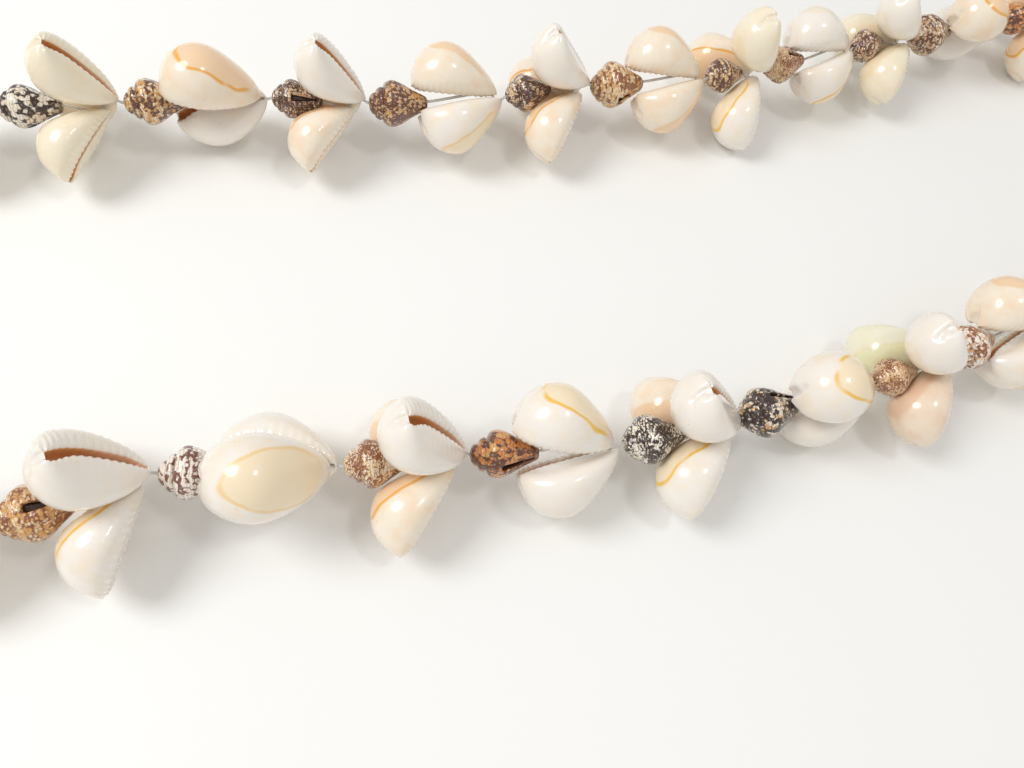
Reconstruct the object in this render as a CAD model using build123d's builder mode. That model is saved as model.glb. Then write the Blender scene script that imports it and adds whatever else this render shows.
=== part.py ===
from build123d import *

import os
from collections import namedtuple
from math import cos, radians, sin, tan

# Shell necklace: ring-top cowries in threes and twos, with a small dove shell before each cluster,
# all strung on one clear thread that closes into a loop. It lies flat, as a necklace put down does.
# Millimetres, +Z up, +X along the long side of the loop. The origin is on the surface it lies on, under
# the middle of its box. Each half of the string runs from the left end to the right end, so all the
# tips point right, and the two halves meet at the knot.

# Cowrie, from its narrow end to its broad end
cowrie_length = 20.0
cowrie_width = 14.0
cowrie_height = 10.2
base_swell = 0.55
aperture_width = 1.3
aperture_depth = 3.4
aperture_end_depth = 0.9
aperture_bow = 0.9
aperture_hook = 1.1
aperture_run_in = (0.04, 0.30)
aperture_run_out = (0.85, 0.97)

# Dove shell, from its spire to its narrow tail
dove_length = 12.6
dove_width = 8.8
dove_tail_width = 2.3
dove_slit_width = 1.0
dove_slit_depth = 2.6
dove_slit_middle = 0.36
dove_slit_share = 0.5

# Thread, its knot, and the holes that it runs through
thread_width = 0.6
knot_width = 1.8
cowrie_bore = 1.3
dove_bore = 1.35
thread_corner_cut = 0.12
arc_run_share = 0.45

# How the shells sit on the thread
mouth_gap = 1.8
petal_clearance = 1.05
pair_clearance = 0.45
pair_roll = 14
tip_stagger = 1.1
hole_from_tip = 1.5
trio_hole_height = 1.7
pair_hole_height = 0.8
dove_spin_step = 137

# Sections of the cowrie: place along the length, half width and height, as shares of its sizes
Section = namedtuple("Section", "place width height")
cowrie_sections = [
    Section(0.00, 0.14, 0.13),
    Section(0.07, 0.36, 0.27),
    Section(0.24, 0.71, 0.60),
    Section(0.50, 0.99, 0.96),
    Section(0.74, 0.94, 0.97),
    Section(0.92, 0.63, 0.68),
    Section(1.00, 0.28, 0.34),
]

# Round of a cowrie's back over its base, as shares of a section's half width and height
foot_share = 0.88
margin_share = 1.22
margin_rise = 0.40
crown_share = 0.72

# Steps of the dove shell's outline from the spire on: place along the length, radius as a share
Step = namedtuple("Step", "place radius")
spire_steps = [
    Step(0.00, 0.36),
    Step(0.03, 0.46),
    Step(0.10, 0.52),
    Step(0.12, 0.66),
    Step(0.21, 0.74),
    Step(0.23, 0.86),
]
body_steps = [
    Step(0.23, 0.86),
    Step(0.40, 1.00),
    Step(0.68, 0.70),
]

# The string's way round the loop, chosen by hand from the photograph, before it is fitted
string_route = [
    (-178, 34), (-184, 26), (-188, 6), (-180, -16), (-163, -33), (-142, -38), (-124, -37),
    (-106, -33), (-75, -40), (-48, -43), (-23, -48), (8, -48), (38, -47), (64, -44),
    (90, -40), (120, -41), (150, -40), (174, -33), (191, -16), (197, 6), (191, 29),
    (174, 46), (151, 52), (136, 50), (112, 47), (90, 47), (66, 43), (36, 40),
    (2, 42), (-25, 41), (-52, 43), (-75, 49), (-103, 50), (-126, 53), (-148, 53),
    (-168, 46), (-177, 35),
]

# One row for each dove shell and the cluster after it. Sizes are shares of the shells' sizes, and
# reach is how far the tips lie past the dove shell's tail, in cowrie lengths. Turn is the cluster's
# angle round the thread and lean the cowries' angle to it, in degrees.
Unit = namedtuple("Unit", "kind dove size reach turn lean")
near_side = [
    Unit("trio", 0.98, 1.00, 0.52, 8, 57),
    Unit("pair", 1.00, 1.00, 0.80, 40, 11.5),
    Unit("trio", 0.98, 0.98, 0.52, -6, 55),
    Unit("pair", 1.02, 1.02, 0.78, 54, 11.5),
    Unit("trio", 1.06, 0.98, 0.54, 8, 54),
    Unit("pair", 1.00, 1.12, 0.77, -38, 10.5),
    Unit("trio", 0.96, 0.98, 0.48, 8, 54.5),
    Unit("pair", 1.04, 1.04, 0.74, 48, 11.5),
    Unit("trio", 1.04, 1.00, 0.53, 8, 52),
    Unit("pair", 1.10, 1.06, 0.84, 6, 9),
    Unit("trio", 0.88, 0.96, 0.46, 8, 54),
    Unit("pair", 1.00, 1.04, 0.76, 54, 11),
    Unit("trio", 1.00, 1.00, 0.52, 8, 53),
    Unit("pair", 1.00, 1.00, 0.80, 44, 11.5),
    Unit("trio", 1.00, 0.98, 0.52, -8, 55),
    Unit("pair", 0.98, 1.00, 0.80, 36, 11.5),
]
far_side = [
    Unit("trio", 0.98, 1.00, 0.52, -4, 56.5),
    Unit("pair", 1.00, 1.00, 0.80, 42, 11.5),
    Unit("trio", 1.00, 0.90, 0.58, 6, 56),
    Unit("pair", 1.00, 1.04, 0.78, -8, 10),
    Unit("trio", 0.88, 0.90, 0.47, 6, 55),
    Unit("pair", 1.06, 1.02, 0.84, 54, 7.5),
    Unit("trio", 0.90, 0.96, 0.46, 6, 54),
    Unit("pair", 1.06, 1.00, 0.81, 52, 9.5),
    Unit("trio", 0.82, 0.96, 0.26, -4, 70),
    Unit("pair", 0.96, 0.98, 0.80, 50, 9),
    Unit("trio", 0.82, 0.92, 0.44, 4, 55),
    Unit("pair", 1.06, 1.06, 0.86, -24, 7.5),
    Unit("trio", 1.00, 1.00, 0.52, -8, 55),
    Unit("pair", 1.00, 1.00, 0.80, 42, 12.5),
    Unit("trio", 0.98, 1.00, 0.52, 6, 55),
    Unit("pair", 0.98, 1.00, 0.80, 38, 12),
]


def cowrie_stations(size):
    """Sections of a cowrie of this size in mm: place, half width, height and swell of the base."""
    return [(section.place * cowrie_length * size, section.width * cowrie_width / 2 * size,
             section.height * cowrie_height * size, section.width * base_swell * size)
            for section in cowrie_sections]


def make_aperture(size):
    """The slot along a cowrie's base: it bows to one side, hooks at the broad end, runs out at both
    ends, and is shallow there."""
    length = cowrie_length * size
    half = aperture_width / 2 * size
    over = 2 * size
    bow = aperture_bow * size
    hook = aperture_hook * size
    depth = aperture_depth * size
    end_depth = aperture_end_depth * size
    with BuildPart() as aperture:
        with BuildSketch(Plane.XY.offset(-over)):
            with BuildLine():
                outer = ThreePointArc((-over, half), (0.5 * length, bow + half), (length + over, half - hook))
                inner = ThreePointArc(
                    (-over, -half), (0.5 * length, bow - half), (length + over, -half - hook)
                )
                Line(outer @ 0, inner @ 0)
                Line(outer @ 1, inner @ 1)
            make_face()
        extrude(amount=over + depth)
        with BuildSketch(Plane.XZ):
            with BuildLine():
                Polyline(
                    (-over, -over),
                    (-over, end_depth),
                    (aperture_run_in[0] * length, end_depth),
                    (aperture_run_in[1] * length, depth),
                    (aperture_run_out[0] * length, depth),
                    (aperture_run_out[1] * length, end_depth),
                    (length + over, end_depth),
                    (length + over, -over),
                    close=True,
                )
            make_face()
        extrude(amount=cowrie_width * size, both=True, mode=Mode.INTERSECT)
    return aperture.part


def make_cowrie(size):
    """One cowrie, undrilled: its narrow end at the origin, its length along X and its back up."""
    with BuildPart() as cowrie:
        for place, wide, high, swell in cowrie_stations(size):
            foot = foot_share * wide
            margin = margin_share * wide
            crown = crown_share * wide
            with BuildSketch(Plane.YZ.offset(place)):
                with BuildLine():
                    Bezier((-foot, 0), (-margin, margin_rise * high), (-crown, high), (0, high))
                    Bezier((0, high), (crown, high), (margin, margin_rise * high), (foot, 0))
                    Bezier((foot, 0), (0, -2 * swell), (-foot, 0))
                make_face()
        loft()
        add(make_aperture(size), mode=Mode.SUBTRACT)
    return cowrie.part


def make_dove_shell(size):
    """One dove shell with its tail at the origin and its spire along -X, drilled from end to end."""
    length = dove_length * size
    radius = dove_width / 2 * size
    with BuildPart() as shell:
        with BuildSketch(Plane.XZ):
            with BuildLine():
                spire = [((step.place - 1) * length, step.radius * radius) for step in spire_steps]
                body = [((step.place - 1) * length, step.radius * radius) for step in body_steps]
                Polyline((-length, 0), *spire)
                ThreePointArc(*body)
                Polyline(body[-1], (0, dove_tail_width / 2), (0, 0), (-length, 0))
            make_face()
        revolve(axis=Axis.X)
        with BuildSketch(Plane.XY.offset(radius - dove_slit_depth * size)):
            with Locations((-dove_slit_middle * length, 0)):
                SlotOverall(dove_slit_share * length, dove_slit_width)
        extrude(amount=2 * radius, mode=Mode.SUBTRACT)
        with Locations(Location((-length / 2, 0, 0), (0, 90, 0))):
            Cylinder(dove_bore / 2, 2 * length, mode=Mode.SUBTRACT)
    return shell.part


def corner_radius(before, corner, after, deepest_cut):
    """Radius of the arc at a corner of a route: as large as its shorter run allows, while the arc
    passes no further inside the corner than deepest_cut."""
    half_turn = radians((corner - before).get_angle(after - corner)) / 2
    run = min((corner - before).length, (after - corner).length)
    return min(arc_run_share * run / tan(half_turn), deepest_cut / (1 / cos(half_turn) - 1))


def rounded_path(points, deepest_cut):
    """A path of straight runs joined by arcs through these points."""
    points = [Vector(point) for point in points]
    radii = [corner_radius(*points[i - 1:i + 2], deepest_cut) for i in range(1, len(points) - 1)]
    with BuildLine() as path:
        FilletPolyline(*points, radius=radii)
    return path.wire()


def unit_lengths(unit):
    """Length of a unit's dove shell, and the way from its tail to the cluster's tips."""
    return dove_length * unit.dove, cowrie_length * unit.size * unit.reach


def side_length(units):
    """Length of one half of the string."""
    return sum(mouth_gap + sum(unit_lengths(unit)) for unit in units)


def cluster_places(unit):
    """Angle round the thread and place along it of each cowrie in a cluster, in threading order."""
    if unit.kind == "trio":
        return [(unit.turn - 120, -tip_stagger), (unit.turn + 120, 0), (unit.turn, tip_stagger)]
    return [(unit.turn, -tip_stagger / 2), (unit.turn + 180, tip_stagger / 2)]


def tip_offset(unit):
    """How far a cowrie's narrow end stays off the line of the thread. In a trio the backs face the
    thread, so the offset keeps the deepest section of the back clear of it."""
    if unit.kind == "pair":
        return pair_clearance
    lean = radians(unit.lean)
    deepest = max(
        high * cos(lean) - place * sin(lean) for place, wide, high, swell in cowrie_stations(unit.size)
    )
    return deepest + petal_clearance * unit.size


def cowrie_plane(unit, tip, heading, azimuth, ahead):
    """Plane of one cowrie of a cluster: X towards its broad end, which leans back from the thread,
    and Z towards its back, which faces the thread in a trio and away from it in a pair. The two of
    a pair roll towards each other, so that their margins close on the side that faces up."""
    up = Vector(0, 0, 1)
    lean = radians(unit.lean)
    out = up * cos(radians(azimuth)) + up.cross(heading) * sin(radians(azimuth))
    along = out * sin(lean) - heading * cos(lean)
    back = out * cos(lean) + heading * sin(lean)
    origin = tip + heading * ahead + out * tip_offset(unit)
    if unit.kind == "trio":
        return Plane(origin=origin, x_dir=along, z_dir=-back)
    roll = -pair_roll if back.cross(along).Z > 0 else pair_roll
    return Plane(origin=origin, x_dir=along, z_dir=back.rotate(Axis((0, 0, 0), along), roll))


def place_side(units, at):
    """Places one half of the string, where at(distance) is the string's point that far from its
    first dove shell. A cluster heads halfway between its dove shell and the string's own way.
    Returns a row for each unit: the dove shell's two ends, the cowries' planes and their holes."""
    rows = []
    distance = 0.0
    for unit in units:
        dove_long, reach = unit_lengths(unit)
        mouth = at(distance + mouth_gap)
        tail = at(distance + mouth_gap + dove_long)
        distance += mouth_gap + dove_long + reach
        tip = at(distance)
        heading = ((tip - tail).normalized() + (tail - mouth).normalized()).normalized()
        planes = [cowrie_plane(unit, tip, heading, *place) for place in cluster_places(unit)]
        hole_height = trio_hole_height if unit.kind == "trio" else pair_hole_height
        hole = Vector(hole_from_tip, 0, hole_height) * unit.size
        rows.append((unit, mouth, tail, planes, [plane.from_local_coords(hole) for plane in planes]))
    return rows


def make_drill(points):
    """What a cowrie's hole takes away where the thread runs through these points."""
    with BuildPart() as drill:
        for start, end in zip(points, points[1:]):
            with Locations(Plane(origin=(start + end) / 2, z_dir=end - start)):
                Cylinder(cowrie_bore / 2, (end - start).length)
        for point in points[1:-1]:
            with Locations(Location(point)):
                Sphere(cowrie_bore / 2)
    return drill.part


def drilled_cowrie(cowrie, plane, drill):
    with BuildPart() as drilled:
        add(cowrie.moved(plane.location))
        add(drill, mode=Mode.SUBTRACT)
    return drilled.part.solids().sort_by(SortBy.VOLUME)[-1]


# The route is drawn once as chosen, and once more at the length that the shells need
string_length = side_length(near_side) + side_length(far_side) + 2 * mouth_gap
chosen_route = rounded_path([(x, y, 0) for x, y in string_route], cowrie_length)
fit = string_length / chosen_route.length
route = rounded_path([(x * fit, y * fit, 0) for x, y in string_route], cowrie_length * fit)


def along_near_side(distance):
    return route.position_at(distance, position_mode=PositionMode.LENGTH)


def along_far_side(distance):
    return route.position_at(route.length - distance, position_mode=PositionMode.LENGTH)


cowrie_sizes = sorted({unit.size for unit in near_side + far_side})
undrilled = {size: make_cowrie(size) for size in cowrie_sizes}
near_rows = place_side(near_side, along_near_side)
far_rows = place_side(far_side, along_far_side)

# The middle of the box's underside goes to the origin
boxes = [
    undrilled[unit.size].moved(plane.location).bounding_box()
    for unit, mouth, tail, planes, holes in near_rows + far_rows
    for plane in planes
]
middle = Vector(
    (min(box.min.X for box in boxes) + max(box.max.X for box in boxes)) / 2,
    (min(box.min.Y for box in boxes) + max(box.max.Y for box in boxes)) / 2,
    min(box.min.Z for box in boxes),
)


def shifted(row):
    unit, mouth, tail, planes, holes = row
    planes = [
        Plane(origin=plane.origin - middle, x_dir=plane.x_dir, z_dir=plane.z_dir) for plane in planes
    ]
    return unit, mouth - middle, tail - middle, planes, [hole - middle for hole in holes]


near_rows = [shifted(row) for row in near_rows]
far_rows = [shifted(row) for row in far_rows]
knot = (near_rows[-1][4][-1] + far_rows[-1][4][-1]) / 2

# Dove shells, each turned further round the thread than the one before
dove_solids = []
dove_sizes = sorted({unit.dove for unit in near_side + far_side})
doves_by_size = {size: make_dove_shell(size) for size in dove_sizes}
for number, (unit, mouth, tail, planes, holes) in enumerate(near_rows + far_rows):
    level = Vector(0, 0, 1).cross(tail - mouth)
    plane = Plane(origin=tail, x_dir=tail - mouth, z_dir=(tail - mouth).cross(level))
    spun = plane.location * Rotation(dove_spin_step * number, 0, 0)
    dove_solids.append(doves_by_size[unit.dove].moved(spun).solid())

# Cowries, drilled where the thread runs through them
cowrie_solids = []
for side in (near_rows, far_rows):
    next_mouths = [row[1] for row in side[1:]] + [knot]
    for (unit, mouth, tail, planes, holes), next_mouth in zip(side, next_mouths):
        drill = make_drill([tail, *holes, next_mouth])
        cowrie_solids += [drilled_cowrie(undrilled[unit.size], plane, drill) for plane in planes]

# Thread, from the knot back along the near side and out again along the far side
near_points = [point for row in near_rows for point in (row[1], row[2], *row[4])]
far_points = [point for row in far_rows for point in (row[1], row[2], *row[4])]
across_knot = (far_points[-1] - near_points[-1]).normalized() * knot_width / 4
with BuildPart() as thread:
    thread_path = rounded_path(
        [knot - across_knot, *reversed(near_points), *far_points, knot + across_knot], thread_corner_cut
    )
    with BuildSketch(Plane(origin=thread_path @ 0, z_dir=thread_path % 0)):
        Circle(thread_width / 2)
    sweep(path=thread_path)
    with Locations(Location(knot)):
        Sphere(knot_width / 2)

with BuildPart() as dove_shells:
    add(dove_solids)
with BuildPart() as cowries:
    add(cowrie_solids)

os.makedirs("parts", exist_ok=True)
cowries.part.label = "cowries"
export_step(cowries.part, "parts/cowries.step")
dove_shells.part.label = "dove_shells"
export_step(dove_shells.part, "parts/dove_shells.step")
thread.part.label = "thread"
export_step(thread.part, "parts/thread.step")

print("string", round(string_length, 1), "mm, route fitted by", round(fit, 3))
print("cowries", len(cowries.part.solids()), "dove shells", len(dove_shells.part.solids()))
print("thread", round(thread_path.length, 1), "mm, string height", round(-middle.Z, 3), "mm")
print("middle", [round(value, 4) for value in middle])
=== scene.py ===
from math import atan2, cos, pi, radians, sin
from random import Random

import bmesh
import bpy
import numpy as np
from mathutils import Matrix, Vector


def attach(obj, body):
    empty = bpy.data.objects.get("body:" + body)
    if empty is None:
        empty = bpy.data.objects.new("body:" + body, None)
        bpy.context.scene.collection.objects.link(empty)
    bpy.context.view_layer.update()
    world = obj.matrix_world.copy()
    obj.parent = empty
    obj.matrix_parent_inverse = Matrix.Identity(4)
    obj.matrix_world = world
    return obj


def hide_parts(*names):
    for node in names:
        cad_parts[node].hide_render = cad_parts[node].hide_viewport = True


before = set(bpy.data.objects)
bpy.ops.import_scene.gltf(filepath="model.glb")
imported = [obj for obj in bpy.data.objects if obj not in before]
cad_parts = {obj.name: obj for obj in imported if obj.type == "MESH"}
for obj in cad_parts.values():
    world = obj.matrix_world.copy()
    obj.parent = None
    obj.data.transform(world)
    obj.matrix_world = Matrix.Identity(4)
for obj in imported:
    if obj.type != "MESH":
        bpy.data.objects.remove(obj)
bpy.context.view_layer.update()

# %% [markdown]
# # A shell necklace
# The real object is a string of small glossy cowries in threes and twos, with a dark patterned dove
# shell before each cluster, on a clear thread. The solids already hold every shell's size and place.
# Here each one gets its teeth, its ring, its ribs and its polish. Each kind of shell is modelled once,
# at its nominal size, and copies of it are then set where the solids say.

MM = 0.001
chance = Random(11)
print("nodes from the solids:", sorted(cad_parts))

# %% [markdown]
# Every operator acts on what is selected, so a few small helpers keep that in hand. They clear the
# selection, open a piece for editing, and select its points or faces by a rule on their place.


# %% Selecting by place
def deselect_all():
    bpy.ops.object.select_all(action="DESELECT")


def open_for_editing(piece):
    deselect_all()
    bpy.context.view_layer.objects.active = piece
    piece.select_set(True)
    bpy.ops.object.mode_set(mode="EDIT")
    bpy.ops.mesh.select_mode(type="VERT")


def select_points(piece, rule):
    """Selects the points whose place, in mm, fits the rule."""
    mesh = bmesh.from_edit_mesh(piece.data)
    for part in (*mesh.edges, *mesh.faces):
        part.select = False
    for point in mesh.verts:
        point.select = rule(point.co / MM)
    mesh.select_flush(True)
    bmesh.update_edit_mesh(piece.data)


def select_faces(piece, rule):
    """Selects the faces whose middle, in mm, fits the rule."""
    mesh = bmesh.from_edit_mesh(piece.data)
    for part in (*mesh.verts, *mesh.edges, *mesh.faces):
        part.select = False
    chosen = [face for face in mesh.faces if rule(face.calc_center_median() / MM)]
    for face in chosen:
        face.select_set(True)
    bmesh.update_edit_mesh(piece.data)
    return len(chosen)


def mark_selected(piece, name):
    """Gives the selected points the value 1 under this name, for the material to read."""
    mesh = bmesh.from_edit_mesh(piece.data)
    layer = mesh.verts.layers.float.get(name) or mesh.verts.layers.float.new(name)
    for point in mesh.verts:
        if point.select:
            point[layer] = 1.0
    bmesh.update_edit_mesh(piece.data)


def stretch(value, centre):
    bpy.ops.transform.resize(value=value, center_override=Vector(centre) * MM)


def shift(value):
    bpy.ops.transform.translate(value=Vector(value) * MM)


def extrude(value):
    bpy.ops.mesh.extrude_region_move(TRANSFORM_OT_translate={"value": Vector(value) * MM})


# %% [markdown]
# ## The cowrie
# A real cowrie is a closed egg with an arched back, a flatter base and a long toothed slit. It could
# be sculpted, but a sphere whose rings are stretched one by one gives the same egg with even faces,
# and the rings then carry the teeth. The sphere's poles lie on the shell's two ends.

# %% Sizes of the cowrie
cowrie_length, cowrie_width, cowrie_height = 20.0, 14.0, 10.2
cowrie_rings, cowrie_segments = 40, 24
# Places along the shell with the half width and the height there, as shares of its sizes
cowrie_profile = [
    (0.00, 0.09, 0.10), (0.03, 0.22, 0.19), (0.07, 0.36, 0.28), (0.15, 0.57, 0.46), (0.24, 0.72, 0.62),
    (0.37, 0.90, 0.83), (0.50, 0.99, 0.96), (0.62, 1.00, 1.01), (0.74, 0.94, 0.97), (0.84, 0.80, 0.85),
    (0.92, 0.61, 0.67), (0.97, 0.42, 0.49), (1.00, 0.24, 0.31),
]
margin_height = 0.30
# Nearer than this, in mm, a point counts as on the level, on the ring or at the place
same_level, same_ring, same_point = 0.001, 0.01, 0.02
print("cowrie of", cowrie_length, "mm from", cowrie_rings, "rings")


# %% Smooth profile of the cowrie
wave_count = 6


def wave_terms(places):
    """Sine waves of the turn from tip to broad end, which all vanish at both ends."""
    turns = np.arccos(1 - 2 * np.asarray(places, dtype=float))
    return np.stack([np.sin((k + 1) * turns) for k in range(wave_count)], axis=-1)


profile_rows = np.array(cowrie_profile)
profile_waves = np.linalg.lstsq(wave_terms(profile_rows[:, 0]), profile_rows[:, 1:], rcond=None)[0]


def profile_at(place):
    """Half width and height of the cowrie, in mm, at this share of its length."""
    half, height = wave_terms(min(1.0, max(0.0, place))) @ profile_waves
    return float(half) * cowrie_width / 2, float(height) * cowrie_height


widest, highest = profile_at(0.6)
print("widest", round(2 * widest, 2), "mm, highest", round(highest, 2), "mm")


# %% Shape of the cowrie
def ring_places():
    return [cowrie_length / 2 * (1 - cos(pi * ring / cowrie_rings)) for ring in range(1, cowrie_rings)]


def model_cowrie():
    deselect_all()
    bpy.ops.mesh.primitive_uv_sphere_add(
        segments=cowrie_segments, ring_count=cowrie_rings, radius=cowrie_length / 2 * MM
    )
    cowrie = bpy.context.object
    cowrie.name = "cowrie_model"
    open_for_editing(cowrie)
    bpy.ops.mesh.select_all(action="SELECT")
    bpy.ops.transform.rotate(value=pi / 2, orient_axis="Y", center_override=(0, 0, 0))
    shift((cowrie_length / 2, 0, 0))
    for number, along in enumerate(ring_places()):
        natural = cowrie_length / 2 * sin(pi * (number + 1) / cowrie_rings)
        half, height = profile_at(along / cowrie_length)
        margin = margin_height * height
        select_points(cowrie, lambda p: abs(p.x - along) < same_ring and p.z > same_level)
        stretch((1, 1, (height - margin) / natural), (along, 0, 0))
        select_points(cowrie, lambda p: abs(p.x - along) < same_ring and p.z < -same_level)
        stretch((1, 1, margin / natural), (along, 0, 0))
        select_points(cowrie, lambda p: abs(p.x - along) < same_ring)
        stretch((1, half / natural, 1), (along, 0, 0))
        shift((0, 0, margin))
    bpy.ops.object.mode_set(mode="OBJECT")
    return cowrie


cowrie = model_cowrie()
egg_size = [round(side / MM, 2) for side in cowrie.dimensions]
print("cowrie egg:", len(cowrie.data.polygons), "faces, size", egg_size)

# %% [markdown]
# The base of a cowrie is flat, with a rounded margin, and its slit runs from end to end between two
# lips. The outer lip carries long ridges that run out over the margin, the inner one short teeth.
# Here the base's points move, ring by ring, to a flat base with two lips, and every second ring of
# the lips is raised, so that the subdivided surface shows ridges.

# %% Lips and teeth
slit_half, slit_bow_mm, slit_hook = 0.85, 1.15, 2.0
bow_place, bow_reach, hook_start = 0.45, 0.55, 0.62
flare_start, flare_share = 0.72, 0.7
# Five columns of points from the slit to the margin: how high each lies, as a share of the margin's
# height, how far the lip swells there, in mm, and how far out the last three are, as a share
column_rise = (0.00, 0.02, 0.10, 0.26, 0.58)
lip_swell = (0.0, 0.34, 0.26, 0.10, 0.0)
column_share = {2: 0.62, 3: 0.81, 4: 0.94}
# How far each column moves on a toothed ring: away from the slit, and down
outer_teeth = ((-0.50, 0.44), (0.0, 0.68), (0.0, 0.66), (0.16, 0.52), (0.28, 0.18))
inner_teeth = ((0.50, 0.36), (0.0, 0.26), (0.0, 0.0), (0.0, 0.0), (0.0, 0.0))
second_column, third_column_pull = 0.36, 0.4
first_tooth, last_tooth, end_round = 0.05, 0.96, 0.10
narrow_width = 0.7
column_turn = 2 * pi / cowrie_segments


def fit_at(place):
    """1 where the cowrie is wide, and less towards its ends, where everything on the base shrinks."""
    return min(1.0, profile_at(place)[0] / (narrow_width * cowrie_width / 2))


def slit_line(place):
    """How far the slit's middle lies towards the outer lip, in mm."""
    bow = slit_bow_mm * (1 - ((place - bow_place) / bow_reach) ** 2)
    return bow - slit_hook * max(0.0, (place - hook_start) / (1 - hook_start)) ** 2


def is_toothed(number, place):
    return bool(number % 2) and first_tooth < place < last_tooth


def column_place(column, side, place):
    """Where a point of the base goes, across and up, in mm, before the teeth are added."""
    half, height = profile_at(place)
    fit = fit_at(place)
    turn = (column + 1) * column_turn
    flat = min(1.0, place / end_round, (1 - place) / end_round)
    middle = slit_line(place) * fit
    flare = 1 + flare_share * max(0.0, place - flare_start) / (1 - flare_start)
    edge = middle + side * slit_half * fit * flare
    third = side * half * column_share[2] + third_column_pull * middle
    if column > 2:
        across = side * half * (flat * column_share[column] + (1 - flat) * sin(turn))
    else:
        across = (edge, edge + second_column * (third - edge), third)[column]
    rise = flat * column_rise[column] + (1 - flat) * (1 - cos(turn))
    return across, rise * margin_height * height - lip_swell[column] * fit


def shape_base(cowrie):
    open_for_editing(cowrie)
    for number, along in enumerate(ring_places()):
        place = along / cowrie_length
        half, height = profile_at(place)
        margin = margin_height * height
        fit = fit_at(place)
        select_points(cowrie, lambda p: (p - Vector((along, 0, 0))).length < same_point)
        shift((0, slit_line(place) * fit, 0))
        for side, teeth in ((1, outer_teeth), (-1, inner_teeth)):
            for column, (outward, down) in enumerate(teeth):
                turn = (column + 1) * column_turn
                old = Vector((along, side * half * sin(turn), margin * (1 - cos(turn))))
                across, up = column_place(column, side, place)
                if is_toothed(number, place):
                    across += (1 if column == 0 else side) * outward * fit
                    up -= down * fit
                select_points(cowrie, lambda p: (p - old).length < same_point)
                shift((0, across - old.y, up - old.z))


shape_base(cowrie)
tooth_count = sum(is_toothed(number, along / cowrie_length) for number, along in enumerate(ring_places()))
print("teeth on each lip:", tooth_count)

# %% [markdown]
# The slit itself is the two strips of faces between the lips. They are pushed in a little all along,
# and then deeper where the shell is high enough. The pushed points are marked, so that the finish
# can be brown inside. At the broad end the slit ends in a notch, with the pit of the first whorls
# above it.

# %% Slit, notch and pit
slit_step, slit_rest, slit_reach = 0.7, 2.2, 0.8
slit_run, deep_run, slit_ceiling, deep_floor = (0.03, 0.985), (0.13, 0.96), 0.6, 0.3
notch_start, notch_side, notch_width, notch_top = 0.965, -0.7, 0.9, 2.4
pit_place, pit_width = Vector((19.6, -0.9, 4.0)), 0.9
notch_push, pit_push = (-0.7, 0, 0.3), (-0.55, 0.1, -0.25)


def cut_slit(cowrie):
    def in_slit(centre, run):
        place = centre.x / cowrie_length
        fit = fit_at(place)
        inside = abs(centre.y - slit_line(place) * fit) < slit_reach * fit
        return run[0] < place < run[1] and centre.z < slit_ceiling and inside

    first_push = Vector((0, 0, slit_step))
    count = select_faces(cowrie, lambda c: in_slit(c, slit_run))
    extrude(first_push)
    mark_selected(cowrie, "mouth")
    select_faces(cowrie, lambda c: in_slit(c - first_push, deep_run) and c.z > deep_floor)
    extrude((0, 0, slit_rest))
    mark_selected(cowrie, "mouth")
    return count


def cut_notch_and_pit(cowrie):
    def in_notch(p):
        return p.x > notch_start * cowrie_length and abs(p.y - notch_side) < notch_width and p.z < notch_top

    select_points(cowrie, in_notch)
    shift(notch_push)
    select_points(cowrie, lambda p: (p - pit_place).length < pit_width)
    shift(pit_push)
    bpy.ops.mesh.select_all(action="SELECT")
    bpy.ops.mesh.normals_make_consistent(inside=False)
    bpy.ops.object.mode_set(mode="OBJECT")


print("faces in the slit:", cut_slit(cowrie))
cut_notch_and_pit(cowrie)


# %% Rounding
def round_off(piece):
    """One level of subdivision, applied, and smooth shading."""
    deselect_all()
    bpy.context.view_layer.objects.active = piece
    piece.select_set(True)
    rounding = piece.modifiers.new("rounding", "SUBSURF")
    rounding.levels = rounding.render_levels = 1
    bpy.ops.object.modifier_apply(modifier="rounding")
    bpy.ops.object.shade_smooth()


round_off(cowrie)
print("cowrie:", len(cowrie.data.polygons), "faces")

# %% [markdown]
# ## The dove shell
# A dove shell is a small spindle with a stepped spire at one end and a ribbed body. A lathe profile
# would do, but drawing a ring out step by step leaves rings that can be tilted, as the whorls are,
# and spokes that can be raised into ribs. The first and last rings run back inside, as the holes
# for the thread do.

# %% Sizes of the dove shell
dove_length, dove_width, dove_spokes = 12.6, 8.8, 28
# Places from the spire's end and the radius there, as shares
dove_profile = [
    (0.100, 0.15), (0.000, 0.15), (0.004, 0.28), (0.030, 0.40), (0.080, 0.49), (0.098, 0.42), (0.114, 0.58),
    (0.160, 0.69), (0.205, 0.72), (0.226, 0.60), (0.248, 0.83), (0.310, 0.97), (0.400, 1.00), (0.490, 0.94),
    (0.580, 0.82), (0.670, 0.68), (0.760, 0.55), (0.850, 0.44), (0.930, 0.35), (0.990, 0.28), (1.000, 0.17),
    (0.900, 0.15),
]
ridged_rings, full_ridge_radius = range(4, 19), 4.0
print("dove shell of", dove_length, "mm from", len(dove_profile), "rings")


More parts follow.
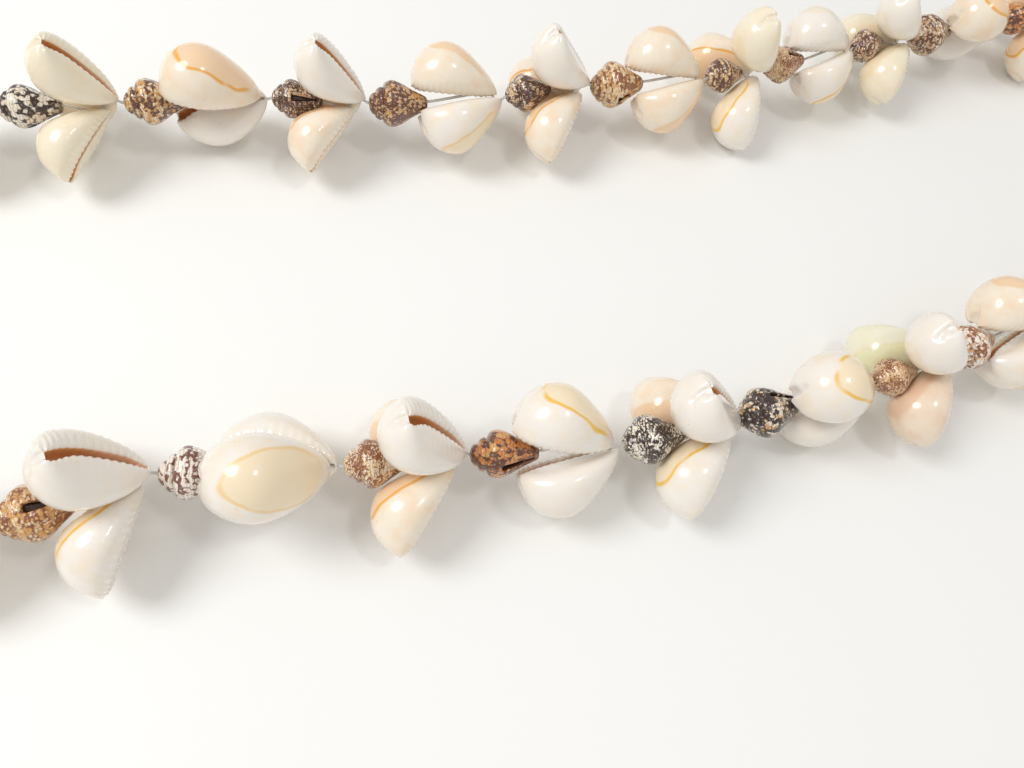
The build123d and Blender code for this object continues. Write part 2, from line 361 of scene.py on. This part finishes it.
# %% Shape of the dove shell
def model_dove_shell(name, rib_height, bead_height):
    """A dove shell with its tail at the origin and its spire along -X."""
    deselect_all()
    place, share = dove_profile[0]
    bpy.ops.mesh.primitive_circle_add(
        vertices=dove_spokes, radius=share * dove_width / 2 * MM, fill_type="TRIFAN"
    )
    shell = bpy.context.object
    shell.name = name
    open_for_editing(shell)
    bpy.ops.mesh.select_all(action="SELECT")
    bpy.ops.transform.rotate(value=pi / 2, orient_axis="Y", center_override=(0, 0, 0))
    shift(((place - 1) * dove_length, 0, 0))
    for next_place, next_share in dove_profile[1:]:
        extrude(((next_place - place) * dove_length, 0, 0))
        grow = next_share / share
        stretch((1, grow, grow), ((next_place - 1) * dove_length, 0, 0))
        place, share = next_place, next_share
    for number in ridged_rings:
        place, share = dove_profile[number]
        along, out = (place - 1) * dove_length, share * dove_width / 2
        for spoke in range(dove_spokes):
            turn = 2 * pi * spoke / dove_spokes
            rise = rib_height * (spoke % 2) + bead_height * ((spoke + number) % 2)
            rise *= out / full_ridge_radius
            spot = Vector((along, out * cos(turn), out * sin(turn)))
            select_points(shell, lambda p: (p - spot).length < same_point)
            shift((0, rise * cos(turn), rise * sin(turn)))
    bpy.ops.object.mode_set(mode="OBJECT")
    return shell


ribbed = model_dove_shell("ribbed_model", rib_height=0.35, bead_height=0.50)
knobby = model_dove_shell("knobby_model", rib_height=0.20, bead_height=1.30)
plain = model_dove_shell("plain_model", rib_height=0.16, bead_height=0.06)
dove_models = (ribbed, knobby, plain)
print("faces:", [len(shell.data.polygons) for shell in dove_models])

# %% [markdown]
# The whorls of a real spire climb, so their seams slant. Each ring of the spire is tilted a little
# to show that. The mouth is a narrow slit in the body: strips of faces are inset and pushed in.

# %% Slanted whorls and mouth
mouth_depth, mouth_rim, mouth_run = 1.6, 0.3, (-0.61, -0.11)
mouth_half_turn = 1.1 * 2 * pi / dove_spokes
whorl_tilt, tilt_full, tilt_end, bore_wall = radians(8), 0.1, 0.45, 0.8
tilted_rings = slice(2, 13)


def finish_dove_shell(shell):
    def in_mouth(c):
        return mouth_run[0] < c.x / dove_length < mouth_run[1] and abs(atan2(c.y, c.z)) < mouth_half_turn

    open_for_editing(shell)
    select_faces(shell, in_mouth)
    bpy.ops.mesh.inset(thickness=mouth_rim * MM, depth=0.0)
    extrude((0, 0, -mouth_depth))
    mark_selected(shell, "mouth")
    for place, share in dove_profile[tilted_rings]:
        along = (place - 1) * dove_length
        fade = min(1.0, place / tilt_full) * max(0.0, 1 - place / tilt_end)
        select_points(shell, lambda p: abs(p.x - along) < same_point and p.yz.length > bore_wall)
        bpy.ops.transform.rotate(
            value=whorl_tilt * fade, orient_axis="Y", center_override=(along * MM, 0, 0)
        )
    bpy.ops.mesh.select_all(action="SELECT")
    bpy.ops.mesh.normals_make_consistent(inside=False)
    bpy.ops.object.mode_set(mode="OBJECT")
    round_off(shell)


for shell in dove_models:
    finish_dove_shell(shell)
    print(shell.name, len(shell.data.polygons), "faces")

# %% [markdown]
# ## Reading the places
# The solids hold every shell as one closed body, but a node is loose triangles with no list of
# places. A copy of the node is merged and parted into its shells, and each shell's volume, middle
# and spread then tell its size, its place and how it is turned. The spread along three axes is
# never equal on a cowrie, so it gives all three directions.


# %% Parting a node into its shells
weld_distance = 0.002


def part_shells(node):
    deselect_all()
    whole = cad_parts[node].copy()
    whole.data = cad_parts[node].data.copy()
    whole.parent = None
    for name in list(whole.keys()):
        del whole[name]
    bpy.context.scene.collection.objects.link(whole)
    open_for_editing(whole)
    bpy.ops.mesh.select_all(action="SELECT")
    bpy.ops.mesh.remove_doubles(threshold=weld_distance * MM)
    bpy.ops.mesh.separate(type="LOOSE")
    bpy.ops.object.mode_set(mode="OBJECT")
    return [whole] + [piece for piece in bpy.context.selected_objects if piece != whole]


def triangles_of(piece):
    mesh = piece.data
    mesh.calc_loop_triangles()
    points = np.empty(len(mesh.vertices) * 3)
    mesh.vertices.foreach_get("co", points)
    corners = np.empty(len(mesh.loop_triangles) * 3, dtype=np.int64)
    mesh.loop_triangles.foreach_get("vertices", corners)
    return points.reshape(-1, 3)[corners].reshape(-1, 3, 3) / MM


# %% Volume, middle and spread
def spread_of(corners):
    """Volume, middle, and the directions of the spread, widest first."""
    # Each triangle spans a tetrahedron with the base point, and the tetrahedra's moments add up
    base = corners.reshape(-1, 3).mean(0)
    a, b, c = (corners[:, k] - base for k in range(3))
    sixth = np.einsum("ij,ij->i", a, np.cross(b, c)) / 6
    volume = sixth.sum()
    middle = (sixth[:, None] * (a + b + c)).sum(0) / 4 / volume
    second = np.zeros((3, 3))
    for u in (a, b, c):
        for w in (a, b, c):
            weight = 2.0 if u is w else 1.0
            second += weight * np.einsum("i,ij,ik->jk", sixth, u, w) / 20
    widths, directions = np.linalg.eigh(second / volume - np.outer(middle, middle))
    order = np.argsort(-widths)
    return abs(volume), base + middle, directions[:, order]


def lean_of(corners, middle, direction):
    """Which way the solid is lopsided along a direction, from the tetrahedra's third moments."""
    a, b, c = (np.einsum("ijk,k->ij", corners - middle, direction)[:, k] for k in range(3))
    d = corners - middle
    sixth = np.einsum("ij,ij->i", d[:, 0], np.cross(d[:, 1], d[:, 2])) / 6
    cubes = a**3 + b**3 + c**3 + a * a * (b + c) + b * b * (a + c) + c * c * (a + b) + a * b * c
    return float((sixth * cubes).sum() / 20)


parts = {name: part_shells(name) for name in ("cowries", "dove_shells")}
print("shells in the solids:", {name: len(pieces) for name, pieces in parts.items()})

# %% [markdown]
# A shell of nominal size has known values, worked out once from the solid's own drawing. The cube
# root of the volumes' ratio is the size. The sign of each direction comes from the lopsidedness: a
# cowrie is heavier towards its broad end and flatter below, a dove shell is drawn out to its tail.

# %% Places of all shells
# A shell of nominal size: its volume, its middle, the way it is long and the way it is flat, and
# which way its lopsidedness points along these two
nominal = {
    "cowries": (
        1383.016, (11.4001, -0.0328, 3.8528), (0.9934, 0.0147, 0.1134), (-0.1131, -0.0193, 0.9934), -1, 1
    ),
    "dove_shells": (392.505, (-7.031, 0.0, -0.0652), (1.0, 0.0, 0.0), (0.0, 0.0, 1.0), 1, -1),
}


def three_ways(along, up):
    return np.stack((along, np.cross(up, along), up), 1)


def seat_of(piece, node):
    """The matrix that sets a shell of nominal size, in mm, where this solid is."""
    nominal_volume, core, nominal_along, nominal_up, lean_along, lean_up = nominal[node]
    corners = triangles_of(piece)
    volume, middle, directions = spread_of(corners)
    along, up = directions[:, 0], directions[:, 2]
    if lean_of(corners, middle, along) * lean_along < 0:
        along = -along
    if lean_of(corners, middle, up) * lean_up < 0:
        up = -up
    size = (volume / nominal_volume) ** (1 / 3)
    turn = three_ways(along, up) @ three_ways(nominal_along, nominal_up).T
    seat = np.eye(4)
    seat[:3, :3] = size * turn
    seat[:3, 3] = middle - size * turn @ np.array(core)
    return Matrix(seat.tolist())


def box_difference(model, seat, piece):
    """Largest difference between a seated model's box and its solid's box, in mm."""
    seated = [seat @ (point.co / MM) for point in model.data.vertices]
    solid = [point.co / MM for point in piece.data.vertices]
    return max(
        abs(pick(point[axis] for point in seated) - pick(point[axis] for point in solid))
        for axis in range(3)
        for pick in (min, max)
    )


seats = {node: [seat_of(piece, node) for piece in pieces] for node, pieces in parts.items()}
for node, model in (("cowries", cowrie), ("dove_shells", ribbed)):
    difference = box_difference(model, seats[node][0], parts[node][0])
    print("first of the", node, "differs from its solid's box by", round(difference, 2), "mm")

# %% [markdown]
# The shells are numbered along the string, from the one at the left end round by the near side. A
# cowrie belongs to the dove shell whose tail is nearest to it. Within a cluster, its own place says
# which one it is: the top one of three, the near one or the far one.

# %% Order along the string
STRING_START = radians(169.6)


def around(seat):
    tail = seat.translation
    return (atan2(tail.y, tail.x) - STRING_START) % (2 * pi)


def core_of(seat):
    """Where the middle of the cowrie in this seat is, in mm."""
    return seat @ Vector(nominal["cowries"][1])


dove_seats = sorted(seats["dove_shells"], key=around)
clusters = [[] for seat in dove_seats]
for seat in seats["cowries"]:
    distances = [(core_of(seat) - dove.translation).length for dove in dove_seats]
    clusters[distances.index(min(distances))].append(seat)
for number, cluster in enumerate(clusters):
    cluster.sort(key=lambda seat: core_of(seat).y)
    if len(cluster) == 3:
        top = max(cluster, key=lambda seat: core_of(seat).z)
        cluster.remove(top)
        cluster.append(top)
    clusters[number] = dict(zip(("near", "far", "top"), cluster))
print("shells per cluster:", [len(cluster) for cluster in clusters])

# %% [markdown]
# ## Finishes
# Every finish is made of nodes that read where a point lies on its own shell, in mm, from a value
# kept with the mesh. So a pattern stays on its shell when the shell is set in place. A second value
# is the same place moved by a different amount for each shell, so that no two look alike.


# %% Writing the nodes
class Finish:
    """A small helper that adds nodes to one material and joins them."""

    def __init__(self, name):
        self.material = bpy.data.materials.new(name)
        self.material.use_nodes = True
        self.tree = self.material.node_tree
        self.surface = self.tree.nodes["Principled BSDF"]

    def node(self, kind, inputs=None, **settings):
        made = self.tree.nodes.new(kind)
        for key, value in settings.items():
            setattr(made, key, value)
        for key, value in (inputs or {}).items():
            if isinstance(value, bpy.types.NodeSocket):
                self.tree.links.new(value, made.inputs[key])
            else:
                made.inputs[key].default_value = value
        return made

    def math(self, operation, *values):
        return self.node("ShaderNodeMath", dict(enumerate(values)), operation=operation).outputs[0]

    def vector_math(self, operation, *values):
        return self.node("ShaderNodeVectorMath", dict(enumerate(values)), operation=operation).outputs[0]

    def value(self, name):
        return self.node("ShaderNodeAttribute", attribute_name=name).outputs

    def apart(self, place):
        """The three parts of a place, X, Y and Z."""
        return self.node("ShaderNodeSeparateXYZ", {"Vector": place}).outputs

    def step(self, value, low, high):
        """0 at low, 1 at high, and smooth between."""
        ends = {"Value": value, "From Min": low, "From Max": high}
        return self.node("ShaderNodeMapRange", ends, interpolation_type="SMOOTHSTEP").outputs["Result"]

    def spread(self, value, low, high):
        """The value, from 0 to 1, spread from low to high."""
        ends = {"Value": value, "To Min": low, "To Max": high}
        return self.node("ShaderNodeMapRange", ends).outputs["Result"]

    def mix(self, share, first, second):
        """The first colour where the share is 0, the second where it is 1."""
        return self.node("ShaderNodeMix", {0: share, 6: first, 7: second}, data_type="RGBA").outputs[2]

    def tinted(self, skin, where, share, tint):
        """The skin with this share of the tint where the value is 1."""
        return self.mix(self.math("MULTIPLY", where, share), skin, tint)

    def noise(self, place, scale, detail=2.0, output="Fac"):
        settings = {"Vector": place, "Scale": scale, "Detail": detail}
        return self.node("ShaderNodeTexNoise", settings).outputs[output]

    def cells(self, place, scale, randomness=1.0):
        """Round cells: the distance from a cell's middle, and a colour by which to pick cells."""
        settings = {"Vector": place, "Scale": scale, "Randomness": randomness}
        made = self.node("ShaderNodeTexVoronoi", settings).outputs
        picks = self.node("ShaderNodeSeparateColor", {"Color": made["Color"]}).outputs
        return made["Distance"], picks

    def relief(self, height, strength, distance):
        settings = {"Height": height, "Strength": strength, "Distance": distance}
        return self.node("ShaderNodeBump", settings).outputs["Normal"]

    def set(self, **sockets):
        for key, value in sockets.items():
            socket = self.surface.inputs[key.replace("_", " ")]
            if isinstance(value, bpy.types.NodeSocket):
                self.tree.links.new(value, socket)
            else:
                socket.default_value = value


def colour(red, green, blue):
    """A paint-box colour, 0 to 255, as the shader wants it."""
    return (*(((c / 255 + 0.055) / 1.055) ** 2.4 for c in (red, green, blue)), 1.0)


print("middle grey is", [round(c, 3) for c in colour(128, 128, 128)])

# %% [markdown]
# A ring-top cowrie is porcelain white, and its back has a thin yellow-orange line in an oval. The
# back inside the line is peach. The line is broken and uneven on a real shell, so noise bends and
# fades it. An image could be painted for this, but an oval worked out from the place on the shell
# needs no unwrapping and is sharp at any size.

# %% Finish of the cowries
RING_MIDDLE, RING_LONG, RING_WIDE, RING_BEND = 8.9, 7.4, 4.7, 0.22
BACK_FROM, BACK_FULL, BACK_EDGE = 2.6, 4.4, (0.90, 1.04)
LINE_EDGE, LINE_GAPS, CLOUD_EDGE = (0.01, 0.085), (0.26, 0.42), (0.40, 0.70)
SLIT_EDGE, SLIT_RUN = (0.08, 0.55), (4.0, 15.0)
SPECK_EDGE, SPECK_RARE, SPECK_SHARE = (0.05, 0.11), (0.93, 0.95), 0.6
# How fine each noise and the specks are, in waves or cells to the mm
BEND_FINE, GAPS_FINE, CLOUD_FINE, RIPPLE_FINE, SPECK_FINE = 0.22, 0.16, 0.25, 0.8, 0.9
SLIT_BROWN, SLIT_PINK = colour(226, 164, 104), colour(240, 200, 168)
SPECK_GREY = colour(120, 112, 104)


def ring_oval(finish, apart, grain):
    """1 on the ring, less inside it and more outside, with the oval bent a little by noise."""
    along = finish.math("DIVIDE", finish.math("SUBTRACT", apart["X"], RING_MIDDLE), RING_LONG)
    across = finish.math("DIVIDE", apart["Y"], RING_WIDE)
    along, across = finish.math("MULTIPLY", along, along), finish.math("MULTIPLY", across, across)
    bend = finish.math("SUBTRACT", finish.noise(grain, BEND_FINE, 1.0), 0.5)
    bend = finish.math("MULTIPLY", bend, RING_BEND)
    return finish.math("ADD", finish.math("SQRT", finish.math("ADD", along, across)), bend)


def ring_line(finish, oval, grain, strength):
    """1 on the ring's line where it isn't worn off."""
    beside = finish.math("ABSOLUTE", finish.math("SUBTRACT", oval, 1.0))
    line = finish.math("SUBTRACT", 1.0, finish.step(beside, *LINE_EDGE))
    kept = finish.step(finish.noise(grain, GAPS_FINE, 1.0), *LINE_GAPS)
    return finish.math("MULTIPLY", line, finish.math("MULTIPLY", kept, strength))


def with_slit_and_specks(finish, skin, apart, grain):
    slit = finish.mix(finish.step(apart["X"], *SLIT_RUN), SLIT_PINK, SLIT_BROWN)
    skin = finish.mix(finish.step(finish.value("mouth")["Fac"], *SLIT_EDGE), skin, slit)
    distance, picks = finish.cells(grain, SPECK_FINE)
    speck = finish.math("SUBTRACT", 1.0, finish.step(distance, *SPECK_EDGE))
    rare = finish.math("MULTIPLY", speck, finish.step(picks[0], *SPECK_RARE))
    return finish.tinted(skin, rare, SPECK_SHARE, SPECK_GREY)


def glaze(name, body, inside, ring, ring_strength):
    """Porcelain with this body colour, this colour inside the ring, and a ring of this strength."""
    finish = Finish(name)
    grain = finish.value("grain")["Vector"]
    apart = finish.apart(finish.value("shell_place")["Vector"])
    oval = ring_oval(finish, apart, grain)
    back = finish.step(apart["Z"], BACK_FROM, BACK_FULL)
    within = finish.math("SUBTRACT", 1.0, finish.step(oval, *BACK_EDGE))
    line = ring_line(finish, oval, grain, ring_strength)
    cloud = finish.noise(grain, CLOUD_FINE, 3.0)
    halfway = tuple((b + i) / 2 for b, i in zip(body, inside))
    skin = finish.mix(finish.step(cloud, *CLOUD_EDGE), body, halfway)
    skin = finish.tinted(skin, within, back, inside)
    skin = finish.tinted(skin, line, back, ring)
    skin = with_slit_and_specks(finish, skin, apart, grain)
    rough = finish.spread(cloud, 0.16, 0.30)
    ripples = finish.relief(finish.noise(grain, RIPPLE_FINE, 3.0), 0.10, 0.0004)
    finish.set(Base_Color=skin, Roughness=rough, Normal=ripples)
    finish.set(IOR=1.52, Coat_Weight=0.6, Coat_Roughness=0.04)
    finish.set(Subsurface_Weight=0.12, Subsurface_Radius=(0.004, 0.003, 0.002), Subsurface_Scale=0.5)
    return finish.material


WHITE, IVORY = colour(244, 237, 228), colour(245, 233, 214)
PEACH, CREAM = colour(246, 212, 174), colour(247, 228, 196)
YELLOW, ORANGE = colour(244, 194, 74), colour(240, 174, 72)
glazes = {
    "white": glaze("white_glaze", WHITE, IVORY, YELLOW, 0.12),
    "faint": glaze("faint_ring_glaze", WHITE, CREAM, YELLOW, 0.55),
    "ringed": glaze("ringed_glaze", WHITE, CREAM, YELLOW, 1.0),
    "orange": glaze("orange_ring_glaze", IVORY, PEACH, ORANGE, 1.0),
    "peach": glaze("peach_glaze", IVORY, PEACH, ORANGE, 0.35),
    "cream": glaze("cream_glaze", colour(245, 235, 212), colour(244, 226, 194), YELLOW, 0.1),
    "tan": glaze("tan_glaze", colour(240, 222, 200), colour(234, 200, 172), ORANGE, 0.1),
    "pale_green": glaze("pale_green_glaze", colour(240, 236, 214), colour(238, 236, 196), YELLOW, 0.15),
}
print("glazes:", sorted(glazes))

# %% [markdown]
# Dove shells carry dark nets, zigzags and blotches under a gloss, and no two are alike. Light round
# cells on dark ground, bent by noise and drawn out along or round the shell, give all of these:
# large cells leave a thin dark net, small ones are light spots, and on the beaded shells they stand
# in rows. Fine dark lines run round the shell with its growth, and the mouth and tail are darker.

# %% Finish of the dove shells
ROW_STEP, LINE_STEP, BENDING = 1.13, 0.62, (1.1, 1.1, 1.1)
PATCH_CHANGE, DARK_EDGE, OTHER_SPOTS = 1.3, (-0.05, 0.07), (0.60, 0.75)
LINES_WHERE, LINES_SHARE = (0.55, 0.95), 0.45
DARK_GRAIN, DARK_GRAIN_SHARE = (0.52, 0.72), 0.22
PALE_GRAIN, PALE_GRAIN_SHARE = (0.46, 0.32), 0.30
MOUTH_WHERE, TAIL_WHERE, TAIL_SHARE = (0.1, 0.6), (-2.0, -0.2), 0.45
CELL_RELIEF = 0.6
# How fine the noises are, in waves to the mm
WOBBLE_FINE, PATCH_FINE, GRAIN_FINE = 1.0, 0.32, 2.4


def waves(finish, value, step):
    """A wave that repeats after this many mm."""
    return finish.math("SINE", finish.math("MULTIPLY", value, 2 * pi / step))


def patterned(name, ground, marks, spots, size, along, light, rows):
    """Light spots between dark marks. The numbers are a spot's size in mm, how much shorter it is
    along the shell than round it, how large the light part is, and how strongly spots stand in rows."""
    finish = Finish(name)
    grain = finish.value("grain")["Vector"]
    apart = finish.apart(finish.value("shell_place")["Vector"])
    wobble = finish.noise(grain, WOBBLE_FINE, output="Color")
    bent = finish.vector_math("MULTIPLY_ADD", wobble, BENDING, grain)
    drawn = finish.vector_math("MULTIPLY", bent, (along / size, 1 / size, 1 / size))
    distance, picks = finish.cells(drawn, 1.0, 0.9)
    patches = finish.noise(grain, PATCH_FINE, 1.0)
    patches = finish.math("MULTIPLY_ADD", patches, PATCH_CHANGE, light - PATCH_CHANGE / 2)
    reach = finish.math("MULTIPLY_ADD", waves(finish, apart["X"], ROW_STEP), rows, patches)
    dark = finish.step(finish.math("SUBTRACT", distance, reach), *DARK_EDGE)
    lines = finish.step(waves(finish, finish.apart(bent)["X"], LINE_STEP), *LINES_WHERE)
    fine = finish.noise(grain, GRAIN_FINE, 4.0)
    skin = finish.mix(finish.step(picks[1], *OTHER_SPOTS), ground, spots)
    skin = finish.mix(dark, skin, marks)
    skin = finish.tinted(skin, lines, LINES_SHARE, marks)
    skin = finish.tinted(skin, finish.step(fine, *DARK_GRAIN), DARK_GRAIN_SHARE, marks)
    skin = finish.tinted(skin, finish.step(fine, *PALE_GRAIN), PALE_GRAIN_SHARE, BONE)
    skin = finish.mix(finish.step(finish.value("mouth")["Fac"], *MOUTH_WHERE), skin, MOUTH_DARK)
    skin = finish.tinted(skin, finish.step(apart["X"], *TAIL_WHERE), TAIL_SHARE, MOUTH_DARK)
    height = finish.math("SUBTRACT", fine, finish.math("MULTIPLY", distance, CELL_RELIEF))
    rough = finish.spread(fine, 0.18, 0.42)
    finish.set(Base_Color=skin, Roughness=rough, Normal=finish.relief(height, 0.30, 0.0003))
    finish.set(Coat_Weight=0.8, Coat_Roughness=0.06)
    return finish.material


BLACK_BROWN, DARK_BROWN, BROWN = colour(50, 27, 21), colour(98, 53, 33), colour(142, 82, 44)
GOLD, TAN, STRAW = colour(218, 162, 92), colour(220, 180, 136), colour(240, 214, 172)
BONE, OFF_WHITE, RUST = colour(242, 228, 206), colour(248, 240, 228), colour(206, 128, 56)
PLUM, UMBER, MOUTH_DARK = colour(118, 66, 56), colour(80, 46, 38), colour(58, 34, 28)
shell_skins = {
    "golden_beads": patterned("golden_beads", GOLD, BROWN, STRAW, 0.60, 1.2, 0.54, 0.08),
    "plum_blotches": patterned("plum_blotches", OFF_WHITE, PLUM, BONE, 0.95, 1.1, 0.54, 0.10),
    "brown_net": patterned("brown_net", STRAW, BROWN, BONE, 0.56, 1.4, 0.50, 0.05),
    "glossy_rust": patterned("glossy_rust", RUST, DARK_BROWN, GOLD, 0.95, 0.50, 0.52, 0.0),
    "black_tents": patterned("black_tents", OFF_WHITE, BLACK_BROWN, BONE, 0.62, 1.5, 0.42, 0.0),
    "black_streaks": patterned("black_streaks", BONE, BLACK_BROWN, GOLD, 0.66, 0.55, 0.40, 0.0),
    "tan_net": patterned("tan_net", TAN, BROWN, STRAW, 0.52, 1.3, 0.54, 0.08),
    "bone_knobs": patterned("bone_knobs", OFF_WHITE, BROWN, TAN, 0.80, 1.1, 0.58, 0.12),
    "tan_knobs": patterned("tan_knobs", STRAW, BROWN, GOLD, 0.80, 0.6, 0.56, 0.14),
    "grey_knobs": patterned("grey_knobs", TAN, DARK_BROWN, BONE, 0.66, 1.1, 0.48, 0.10),
    "dark_knobs": patterned("dark_knobs", STRAW, DARK_BROWN, TAN, 0.90, 1.1, 0.46, 0.14),
    "dark_spots": patterned("dark_spots", TAN, UMBER, BONE, 0.56, 1.2, 0.40, 0.08),
    "umber_streaks": patterned("umber_streaks", TAN, DARK_BROWN, GOLD, 0.62, 0.50, 0.41, 0.08),
    "dark_lines": patterned("dark_lines", TAN, UMBER, BONE, 0.60, 0.30, 0.41, 0.0),
    "amber_spots": patterned("amber_spots", GOLD, DARK_BROWN, STRAW, 0.72, 0.7, 0.54, 0.14),
    "black_zigzag": patterned("black_zigzag", OFF_WHITE, BLACK_BROWN, BONE, 1.05, 0.8, 0.54, 0.0),
}
print("shell skins:", sorted(shell_skins))

# %% [markdown]
# ## Setting the shells
# Each copy has its own mesh. Its points first write down their place on the shell, and are then
# moved to the seat read from the solids, so the object itself stays at the origin. The charts say
# which finish a shell that can be told apart has; the others take theirs by turns.

# %% Charts of the finishes
dove_chart = {
    3: "tan_net", 4: "golden_beads", 5: "plum_blotches", 6: "brown_net", 7: "glossy_rust", 8: "black_tents",
    9: "black_streaks", 10: "tan_net", 11: "bone_knobs", 12: "dark_spots", 19: "glossy_rust",
    20: "grey_knobs", 21: "grey_knobs", 22: "tan_net", 23: "dark_knobs", 24: "tan_knobs", 25: "dark_lines",
    26: "umber_streaks", 27: "dark_spots", 28: "amber_spots", 29: "black_zigzag", 30: "brown_net",
}
knobby_ones, plain_ones = (11, 20, 21, 23, 24), (7, 19, 29)
cowrie_chart = {
    (3, "near"): "ringed", (3, "far"): "peach",
    (4, "near"): "ringed", (4, "far"): "peach", (4, "top"): "white",
    (5, "near"): "faint", (5, "far"): "faint",
    (6, "near"): "orange", (6, "far"): "peach", (6, "top"): "white",
    (7, "near"): "white", (7, "far"): "ringed",
    (8, "near"): "ringed", (8, "far"): "peach", (8, "top"): "white",
    (9, "near"): "white", (9, "far"): "ringed",
    (10, "near"): "tan", (10, "far"): "pale_green", (10, "top"): "white",
    (11, "near"): "ringed", (11, "far"): "peach",
    (20, "near"): "orange", (20, "far"): "white",
    (21, "near"): "cream", (21, "far"): "cream", (21, "top"): "white",
    (22, "near"): "ringed", (22, "far"): "white",
    (23, "near"): "ringed", (23, "far"): "orange", (23, "top"): "cream",
    (24, "near"): "peach", (24, "far"): "peach",
    (25, "near"): "orange", (25, "far"): "orange", (25, "top"): "white",
    (26, "near"): "faint", (26, "far"): "peach",
    (27, "near"): "orange", (27, "far"): "peach", (27, "top"): "white",
    (28, "near"): "orange", (28, "far"): "white",
    (29, "near"): "cream", (29, "far"): "cream", (29, "top"): "cream",
}
by_turns = ("ringed", "faint", "orange", "peach", "ringed")
skins_by_turns = ("golden_beads", "black_tents", "plum_blotches", "tan_net", "dark_spots", "amber_spots")
print("charted:", len(dove_chart), "dove shells,", len(cowrie_chart), "cowries")


# %% Setting one shell
grain_reach = 400


def set_shell(model, name, seat, finish, node):
    shell = model.copy()
    shell.data = model.data.copy()
    shell.name = shell.data.name = name
    bpy.context.scene.collection.objects.link(shell)
    mesh = shell.data
    points = np.empty(len(mesh.vertices) * 3)
    mesh.vertices.foreach_get("co", points)
    offset = [chance.uniform(0, grain_reach) for axis in range(3)]
    places = points / MM
    grains = (places.reshape(-1, 3) + offset).ravel()
    for label, values in (("shell_place", places), ("grain", grains)):
        mesh.attributes.new(label, "FLOAT_VECTOR", "POINT").data.foreach_set("vector", values)
    mesh.transform(Matrix.Scale(MM, 4) @ seat @ Matrix.Scale(1 / MM, 4))
    mesh.materials.clear()
    mesh.materials.append(finish)
    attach(shell, "root")
    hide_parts(node)


# %% All shells
for number, seat in enumerate(dove_seats):
    model = knobby if number in knobby_ones else plain if number in plain_ones else ribbed
    skin = shell_skins[dove_chart.get(number, skins_by_turns[number % len(skins_by_turns)])]
    set_shell(model, f"dove_shell_{number:02d}", seat, skin, "dove_shells")
made = 0
for number, cluster in enumerate(clusters):
    for role, seat in cluster.items():
        finish = glazes[cowrie_chart.get((number, role), by_turns[made % len(by_turns)])]
        set_shell(cowrie, f"cowrie_{number:02d}_{role}", seat, finish, "cowries")
        made += 1
for piece in (cowrie, *dove_models, *parts["cowries"], *parts["dove_shells"]):
    bpy.data.objects.remove(piece)
print("set", len(dove_seats), "dove shells and", made, "cowries")

# %% [markdown]
# ## The thread
# The thread is clear nylon line, knotted at the right end. The solid's own shape is right, so it
# stays and only gets its finish: milky, a little see-through and glossy.

# %% Finish of the thread
STREAKS_TO_THE_METRE = 900.0
nylon = Finish("clear_nylon")
streaks = nylon.noise(nylon.node("ShaderNodeTexCoord").outputs["Object"], STREAKS_TO_THE_METRE)
milky = nylon.mix(streaks, colour(226, 224, 218), colour(246, 245, 242))
nylon.set(Base_Color=milky, Roughness=0.22, IOR=1.5, Transmission_Weight=0.45)
nylon.set(Coat_Weight=0.3, Coat_Roughness=0.1)
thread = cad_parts["thread"]
thread.data.materials.clear()
thread.data.materials.append(nylon.material)
thread.data.shade_smooth()
print("thread:", len(thread.data.polygons), "faces")

# %% [markdown]
# ## Floor, light and camera
# The photograph was taken from above on a white table, with two soft lamps whose mirror images show
# on every cowrie, the larger on the left. A pale floor, two area lights and a bright even sky give
# the same soft shadows.

# %% Floor
floor_side = 3.0
bpy.ops.mesh.primitive_plane_add(size=floor_side, location=(0, 0, 0))
floor = bpy.context.object
floor.name = "floor"
paper = Finish("pale_floor")
paper.set(Base_Color=colour(247, 247, 245), Roughness=0.55)
floor.data.materials.append(paper.material)
print("floor:", floor_side, "m across")

# %% Lights
# The photograph's right, its up, and the way from the table back to the viewer
RIGHT = Vector((0.95043, -0.27253, 0.1497))
UP = Vector((0.19162, 0.89252, 0.40827))
BACK = Vector((-0.24488, -0.35935, 0.9005))
SKY_COLOUR, SKY_STRENGTH = (1.0, 0.99, 0.97, 1.0), 0.60


def lamp(name, towards, distance, size, watts):
    """A round lamp that looks at the middle of the string."""
    light = bpy.data.lights.new(name, "AREA")
    light.shape, light.size, light.energy = "DISK", size, watts
    stand = bpy.data.objects.new(name, light)
    direction = (RIGHT * towards[0] + UP * towards[1] + BACK * towards[2]).normalized()
    stand.location = direction * distance
    stand.rotation_euler = direction.to_track_quat("Z", "Y").to_euler()
    bpy.context.scene.collection.objects.link(stand)


lamp("large_lamp", towards=(-0.55, 0.35, 0.8), distance=0.9, size=0.40, watts=3.6)
lamp("small_lamp", towards=(0.45, 0.30, 0.85), distance=0.9, size=0.14, watts=0.8)
sky = bpy.data.worlds.new("sky")
bpy.context.scene.world = sky
sky.use_nodes = True
background = sky.node_tree.nodes["Background"].inputs
background["Color"].default_value = SKY_COLOUR
background["Strength"].default_value = SKY_STRENGTH
print("lamps and sky set, sky strength", SKY_STRENGTH)

# %% Camera
camera = bpy.data.cameras.new("camera")
camera.lens, camera.sensor_width, camera.clip_start = 27.0703, 36.0, 0.01
tripod = bpy.data.objects.new("camera", camera)
tripod.location = (-0.077537, -0.086957, 0.150606)
tripod.rotation_euler = (radians(24.389), radians(-8.61), radians(-16.0))
bpy.context.scene.collection.objects.link(tripod)
bpy.context.scene.camera = tripod
bpy.context.scene.view_settings.view_transform = "Standard"
print("camera", [round(v, 3) for v in tripod.location])
